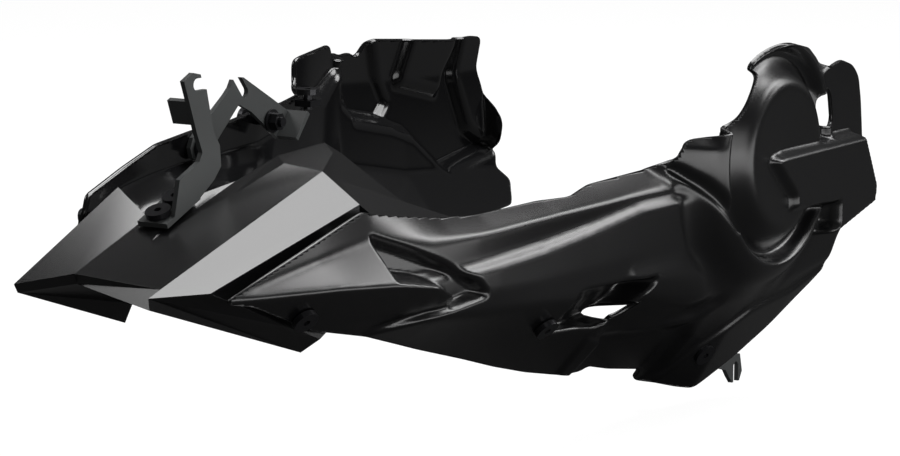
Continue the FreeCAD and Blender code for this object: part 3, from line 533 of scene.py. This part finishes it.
NOSE_FACETS = (
    ("near_tip", "near_corner", "near_rear_corner", "near_ridge_end"),
    ("near_tip", "near_low", "near_keel_end", "near_keel_side", "seam_mid", "near_corner"),
    ("near_corner", "seam_mid", "near_keel_side", "near_rear_low", "near_rear_corner"),
    ("near_ridge_end", "wall_3", "wall_2", "wall_1", "floor_near", "floor_front", "lip_near",
     "near_tip"),
    ("near_tip", "lip_near", "near_low"),
    ("lip_near", "floor_front", "lip_far"),
    ("lip_near", "lip_far", "lip_low", "near_low"),
    ("floor_front", "floor_near", "floor_far", "lip_far"),
    ("lip_far", "floor_far", "far_ridge_end", "far_tip"),
    ("lip_far", "far_tip", "far_low", "lip_low"),
    ("far_low", "far_keel_end", "far_keel_side", "lip_low"),
    ("far_tip", "far_ridge_end", "far_side", "far_keel_end", "far_low"),
    ("floor_near", "wall_1", "edge_2", "edge_1", "floor_far"),
    ("wall_1", "wall_2", "edge_3", "edge_2"),
    ("wall_2", "wall_3", "edge_4", "edge_3"),
    ("near_ridge_end", "near_rear_corner", "step_2", "step_1"),
    ("near_ridge_end", "step_1", "rear_1", "edge_4", "wall_3"),
    ("step_1", "rear_2", "rear_1"),
    ("step_1", "step_2", "step_3", "rear_3", "rear_2"),
)
SAME_FACING = 0.02
OFFSET_PASSES = 60
OFFSET_SHARE = 0.5
FARTHEST_OFFSET = WALL * 2.5


def inset_by(normals):
    """Move that brings a corner a wall's thickness in from each of its facets."""
    move = np.zeros(3)
    for _ in range(OFFSET_PASSES):
        for normal in normals:
            move = move + normal * (min(WALL - move @ normal, WALL) * OFFSET_SHARE)
    length = np.linalg.norm(move)
    if length > FARTHEST_OFFSET:
        move = move * (FARTHEST_OFFSET / length)
    return move


def nose_panel():
    """Faceted sheet closed by an inner copy, every corner moved in along its facets' normals."""
    index = {name: i for i, name in enumerate(NOSE)}
    outer = np.array(list(NOSE.values()), float)
    count = len(outer)
    faces = []
    for first, *others in NOSE_FACETS:
        for b, c in zip(others, others[1:]):
            faces.append((index[first], index[b], index[c]))
    normals = [[] for _ in NOSE]
    sides = set()
    for a, b, c in faces:
        normal = np.cross(outer[b] - outer[a], outer[c] - outer[a])
        normal /= np.linalg.norm(normal)
        for v in (a, b, c):
            if all(np.linalg.norm(normal - other) > SAME_FACING for other in normals[v]):
                normals[v].append(normal)
        sides |= {(a, b), (b, c), (c, a)}
    inner = np.array([corner - inset_by(group) for corner, group in zip(outer, normals)])
    polygons = faces + [(a + count, c + count, b + count) for a, b, c in faces]
    polygons += [(b, a, a + count, b + count) for a, b in sides if (b, a) not in sides]
    piece = new_piece("nose_moulding", np.concatenate([outer, inner]), polygons, SATIN)
    bevel(piece, 0.0014, 12, 3)
    return piece


def bevel(piece, width, angle, segments):
    """Rounding of the edges that turn by more than an angle in degrees."""
    edge = piece.modifiers.new("edge", "BEVEL")
    edge.width = width
    edge.segments = segments
    edge.limit_method = "ANGLE"
    edge.angle_limit = math.radians(angle)
    edge.harden_normals = True


BUILDERS = {
    "left_side_panel": left_panel,
    "right_side_panel": right_panel,
    "nose_panel": nose_panel,
}

for name, piece in nodes.items():
    piece.data.materials.clear()
    piece.data.materials.append(FINISHES.get(name, BLACK_ZINC))
    if name not in BUILDERS:
        bevel(piece, 0.0004, 35, 2)

for node, builder in BUILDERS.items():
    piece = builder()
    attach(piece, "root")
    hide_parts(node)


# Floor, lamps and camera. The camera sees them white, and the part reflects them dark.

FLOOR_SIZE = 30
FLOOR_GLOW = 0.95
FLOOR_SEEN = 0.12
FLOOR_REFLECTED = 0.06
WORLD_SEEN = 1.0
WORLD_REFLECTED = 0.05


def backdrop_material():
    """White floor with soft shadows for the camera, dark for every other ray."""
    material = bpy.data.materials.new("pale_floor")
    material.use_nodes = True
    tree = material.node_tree
    tree.nodes.clear()
    out = tree.nodes.new("ShaderNodeOutputMaterial")
    path = tree.nodes.new("ShaderNodeLightPath")
    mix = tree.nodes.new("ShaderNodeMixShader")
    seen = tree.nodes.new("ShaderNodeAddShader")
    glow = tree.nodes.new("ShaderNodeEmission")
    glow.inputs["Strength"].default_value = FLOOR_GLOW
    shade = tree.nodes.new("ShaderNodeBsdfDiffuse")
    shade.inputs["Color"].default_value = (FLOOR_SEEN, FLOOR_SEEN, FLOOR_SEEN, 1)
    tree.links.new(glow.outputs["Emission"], seen.inputs[0])
    tree.links.new(shade.outputs["BSDF"], seen.inputs[1])
    other = tree.nodes.new("ShaderNodeBsdfDiffuse")
    other.inputs["Color"].default_value = (FLOOR_REFLECTED, FLOOR_REFLECTED, FLOOR_REFLECTED, 1)
    tree.links.new(path.outputs["Is Camera Ray"], mix.inputs["Fac"])
    tree.links.new(other.outputs["BSDF"], mix.inputs[1])
    tree.links.new(seen.outputs["Shader"], mix.inputs[2])
    tree.links.new(mix.outputs["Shader"], out.inputs["Surface"])
    return material


def studio_world():
    world = bpy.data.worlds.new("studio")
    world.use_nodes = True
    tree = world.node_tree
    background = tree.nodes["Background"]
    path = tree.nodes.new("ShaderNodeLightPath")
    strength = tree.nodes.new("ShaderNodeMapRange")
    strength.inputs["To Min"].default_value = WORLD_REFLECTED
    strength.inputs["To Max"].default_value = WORLD_SEEN
    tree.links.new(path.outputs["Is Camera Ray"], strength.inputs["Value"])
    tree.links.new(strength.outputs["Result"], background.inputs["Strength"])
    background.inputs["Color"].default_value = (1, 1, 1, 1)
    return world


floor_height = start_bounds[0][2]
bpy.ops.mesh.primitive_plane_add(size=FLOOR_SIZE, location=(0, 0, floor_height))
floor = bpy.context.object
floor.name = "floor"
floor.data.materials.append(backdrop_material())
bpy.context.scene.world = studio_world()

CENTRE = Vector((0.2705, 0.0, -0.118))

# Each lamp's name, direction from the part, distance, width, height and radiance
LAMPS = (
    ("top_box", (0.43, -0.07, 0.90), 2.1, 2.1, 1.2, 6.2),
    ("side_box", (0.57, -0.58, 0.56), 2.3, 0.9, 0.5, 6.0),
    ("rear_strip", (0.76, -0.55, 0.34), 2.4, 0.55, 0.9, 5.0),
    ("front_box", (-0.50, -0.80, 0.20), 2.4, 1.3, 0.9, 1.6),
    ("far_box", (-0.22, 0.65, 0.72), 2.3, 0.8, 0.8, 3.5),
    ("low_card", (-0.05, -0.75, -0.012), 0.752, 1.05, 0.22, 2.2),
)


def softbox(name, direction, distance, width, height, radiance):
    data = bpy.data.lights.new(name, "AREA")
    data.shape = "RECTANGLE"
    data.size = width
    data.size_y = height
    data.energy = radiance * math.pi * width * height
    lamp = bpy.data.objects.new(name, data)
    bpy.context.scene.collection.objects.link(lamp)
    place = Vector(direction).normalized()
    lamp.location = CENTRE + place * distance
    lamp.rotation_euler = place.to_track_quat("Z", "Y").to_euler()


for lamp in LAMPS:
    softbox(*lamp)

CAMERA_AZIMUTH = math.radians(-58)
CAMERA_HEIGHT = math.radians(9)
CAMERA_DISTANCE = 2.44
back = Vector((math.sin(CAMERA_AZIMUTH) * math.cos(CAMERA_HEIGHT),
               -math.cos(CAMERA_AZIMUTH) * math.cos(CAMERA_HEIGHT), math.sin(CAMERA_HEIGHT)))
camera_data = bpy.data.cameras.new("camera")
camera_data.sensor_width = 36.0
camera_data.lens = 156.16
camera = bpy.data.objects.new("camera", camera_data)
bpy.context.scene.collection.objects.link(camera)
camera.location = CENTRE + back * CAMERA_DISTANCE
camera.rotation_euler = back.to_track_quat("Z", "Y").to_euler()
bpy.context.scene.camera = camera
bpy.context.scene.view_settings.view_transform = "Standard"
